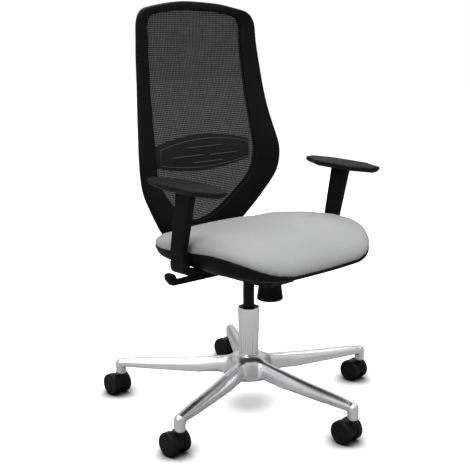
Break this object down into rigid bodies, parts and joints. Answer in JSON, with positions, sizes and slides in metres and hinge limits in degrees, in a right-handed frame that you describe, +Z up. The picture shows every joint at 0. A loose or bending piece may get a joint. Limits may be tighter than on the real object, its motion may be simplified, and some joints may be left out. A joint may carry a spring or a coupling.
{
  "type": "office task chair",
  "caption": "Mesh-back office task chair with T-shaped arms, light grey seat, gas lift, polished star base and twin-wheel castors.",
  "frame": {"origin": "on the floor, under the axis of the gas column", "axes": "+Z up; the sitter faces -Y; +X is the sitter's left"},
  "size_m": [0.6806, 0.6563, 0.9853],
  "materials": {
    "polished_aluminium": "polished die casting",
    "chrome_sleeve": "polished",
    "bright_steel": "plain",
    "black_metal": "black powder coat",
    "black_plastic": "satin, fine grain",
    "castor_plastic": "satin nylon",
    "arm_pad_plastic": "soft grained polyurethane",
    "plywood": "plain plywood",
    "seat_fabric": "fine woven, light grey",
    "mesh_fabric": "dense stretched mesh, dark grey"
  },
  "bodies": {
    "base": {"star_base": "polished_aluminium", "column_sleeve": "chrome_sleeve", "guide_bush": "black_plastic", "castor_stem_1": "bright_steel", "castor_stem_2": "bright_steel", "castor_stem_3": "bright_steel", "castor_stem_4": "bright_steel", "castor_stem_5": "bright_steel"},
    "castor_1": {"castor_hood_1": "castor_plastic", "castor_axle_1": "bright_steel"},
    "wheel_1a": {"castor_wheel_1a": "castor_plastic"},
    "wheel_1b": {"castor_wheel_1b": "castor_plastic"},
    "castor_2": {"castor_hood_2": "castor_plastic", "castor_axle_2": "bright_steel"},
    "wheel_2a": {"castor_wheel_2a": "castor_plastic"},
    "wheel_2b": {"castor_wheel_2b": "castor_plastic"},
    "castor_3": {"castor_hood_3": "castor_plastic", "castor_axle_3": "bright_steel"},
    "wheel_3a": {"castor_wheel_3a": "castor_plastic"},
    "wheel_3b": {"castor_wheel_3b": "castor_plastic"},
    "castor_4": {"castor_hood_4": "castor_plastic", "castor_axle_4": "bright_steel"},
    "wheel_4a": {"castor_wheel_4a": "castor_plastic"},
    "wheel_4b": {"castor_wheel_4b": "castor_plastic"},
    "castor_5": {"castor_hood_5": "castor_plastic", "castor_axle_5": "bright_steel"},
    "wheel_5a": {"castor_wheel_5a": "castor_plastic"},
    "wheel_5b": {"castor_wheel_5b": "castor_plastic"},
    "column_rod": {"piston_rod": "bright_steel", "thrust_bearing": "bright_steel", "rod_clip": "bright_steel"},
    "chassis": {"gas_cylinder": "black_metal", "tilt_housing": "black_metal", "seat_pivot_pin": "bright_steel", "back_pivot_shaft": "bright_steel", "tension_spring": "bright_steel"},
    "valve": {"valve_pin": "bright_steel"},
    "knob": {"tension_knob": "black_plastic"},
    "lever": {"height_lever": "black_plastic"},
    "seat": {"seat_plate": "black_metal", "seat_shell": "black_plastic", "seat_board": "plywood", "seat_cushion": "seat_fabric", "seat_bolts": "bright_steel", "arm_upright_left": "black_plastic", "arm_upright_right": "black_plastic", "arm_pad_left": "arm_pad_plastic", "arm_pad_right": "arm_pad_plastic", "arm_bolts": "bright_steel"},
    "back": {"back_carrier": "black_plastic", "back_frame": "black_plastic", "back_mesh": "mesh_fabric", "back_bolts": "bright_steel"},
    "lumbar": {"lumbar_pad": "black_plastic"}
  },
  "joints": [
    {"name": "castor_swivel_1", "type": "hinge", "parent": "base", "child": "castor_1", "pos_m": [0, -0.331, 0.045], "axis": [0, 0, 1], "continuous": true},
    {"name": "wheel_spin_1a", "type": "hinge", "parent": "castor_1", "child": "wheel_1a", "pos_m": [0, -0.314, 0.0275], "axis": [1, 0, 0], "continuous": true},
    {"name": "wheel_spin_1b", "type": "hinge", "parent": "castor_1", "child": "wheel_1b", "pos_m": [0, -0.314, 0.0275], "axis": [1, 0, 0], "continuous": true},
    {"name": "castor_swivel_2", "type": "hinge", "parent": "base", "child": "castor_2", "pos_m": [0.3148, -0.10229, 0.045], "axis": [0, 0, 1], "continuous": true},
    {"name": "wheel_spin_2a", "type": "hinge", "parent": "castor_2", "child": "wheel_2a", "pos_m": [0.3148, -0.08528, 0.0275], "axis": [1, 0, 0], "continuous": true},
    {"name": "wheel_spin_2b", "type": "hinge", "parent": "castor_2", "child": "wheel_2b", "pos_m": [0.3148, -0.08528, 0.0275], "axis": [1, 0, 0], "continuous": true},
    {"name": "castor_swivel_3", "type": "hinge", "parent": "base", "child": "castor_3", "pos_m": [0.19456, 0.26778, 0.045], "axis": [0, 0, 1], "continuous": true},
    {"name": "wheel_spin_3a", "type": "hinge", "parent": "castor_3", "child": "wheel_3a", "pos_m": [0.19456, 0.28479, 0.0275], "axis": [1, 0, 0], "continuous": true},
    {"name": "wheel_spin_3b", "type": "hinge", "parent": "castor_3", "child": "wheel_3b", "pos_m": [0.19456, 0.28479, 0.0275], "axis": [1, 0, 0], "continuous": true},
    {"name": "castor_swivel_4", "type": "hinge", "parent": "base", "child": "castor_4", "pos_m": [-0.19456, 0.26778, 0.045], "axis": [0, 0, 1], "continuous": true},
    {"name": "wheel_spin_4a", "type": "hinge", "parent": "castor_4", "child": "wheel_4a", "pos_m": [-0.19456, 0.28479, 0.0275], "axis": [1, 0, 0], "continuous": true},
    {"name": "wheel_spin_4b", "type": "hinge", "parent": "castor_4", "child": "wheel_4b", "pos_m": [-0.19456, 0.28479, 0.0275], "axis": [1, 0, 0], "continuous": true},
    {"name": "castor_swivel_5", "type": "hinge", "parent": "base", "child": "castor_5", "pos_m": [-0.3148, -0.10229, 0.045], "axis": [0, 0, 1], "continuous": true},
    {"name": "wheel_spin_5a", "type": "hinge", "parent": "castor_5", "child": "wheel_5a", "pos_m": [-0.3148, -0.08528, 0.0275], "axis": [1, 0, 0], "continuous": true},
    {"name": "wheel_spin_5b", "type": "hinge", "parent": "castor_5", "child": "wheel_5b", "pos_m": [-0.3148, -0.08528, 0.0275], "axis": [1, 0, 0], "continuous": true},
    {"name": "seat_swivel", "type": "hinge", "parent": "base", "child": "column_rod", "pos_m": [0, 0, 0.08], "axis": [0, 0, 1], "continuous": true},
    {"name": "seat_height", "type": "slide", "parent": "column_rod", "child": "chassis", "axis": [0, 0, 1], "range_m": [-0.06, 0.06]},
    {"name": "back_recline", "type": "hinge", "parent": "chassis", "child": "back", "pos_m": [0, 0.04, 0.346], "axis": [-1, 0, 0], "range_deg": [0, 18], "stiffness_Nm_per_rad": 60, "springref_deg": -20.05},
    {"name": "seat_tilt", "type": "hinge", "parent": "chassis", "child": "seat", "pos_m": [0, -0.096, 0.35], "axis": [-1, 0, 0], "range_deg": [0, 5.4]},
    {"name": "lumbar_height", "type": "slide", "parent": "back", "child": "lumbar", "axis": [0, 0, 1], "range_m": [-0.015, 0.025]},
    {"name": "tension_knob_turn", "type": "hinge", "parent": "chassis", "child": "knob", "pos_m": [0, -0.072, 0.3], "axis": [0, 0, 1], "range_deg": [-360, 360]},
    {"name": "lever_lift", "type": "hinge", "parent": "chassis", "child": "lever", "pos_m": [-0.034, 0.01, 0.35], "axis": [0, 1, 0], "range_deg": [0, 5], "stiffness_Nm_per_rad": 6, "springref_deg": -2.86},
    {"name": "valve_press", "type": "slide", "parent": "chassis", "child": "valve", "axis": [0, 0, -1], "range_m": [0, 0.003]}
  ],
  "couplings": [
    {"joint": "seat_tilt", "follows": "back_recline", "ratio": 0.3},
    {"joint": "valve_press", "follows": "lever_lift", "m_per_rad": 0.034}
  ]
}
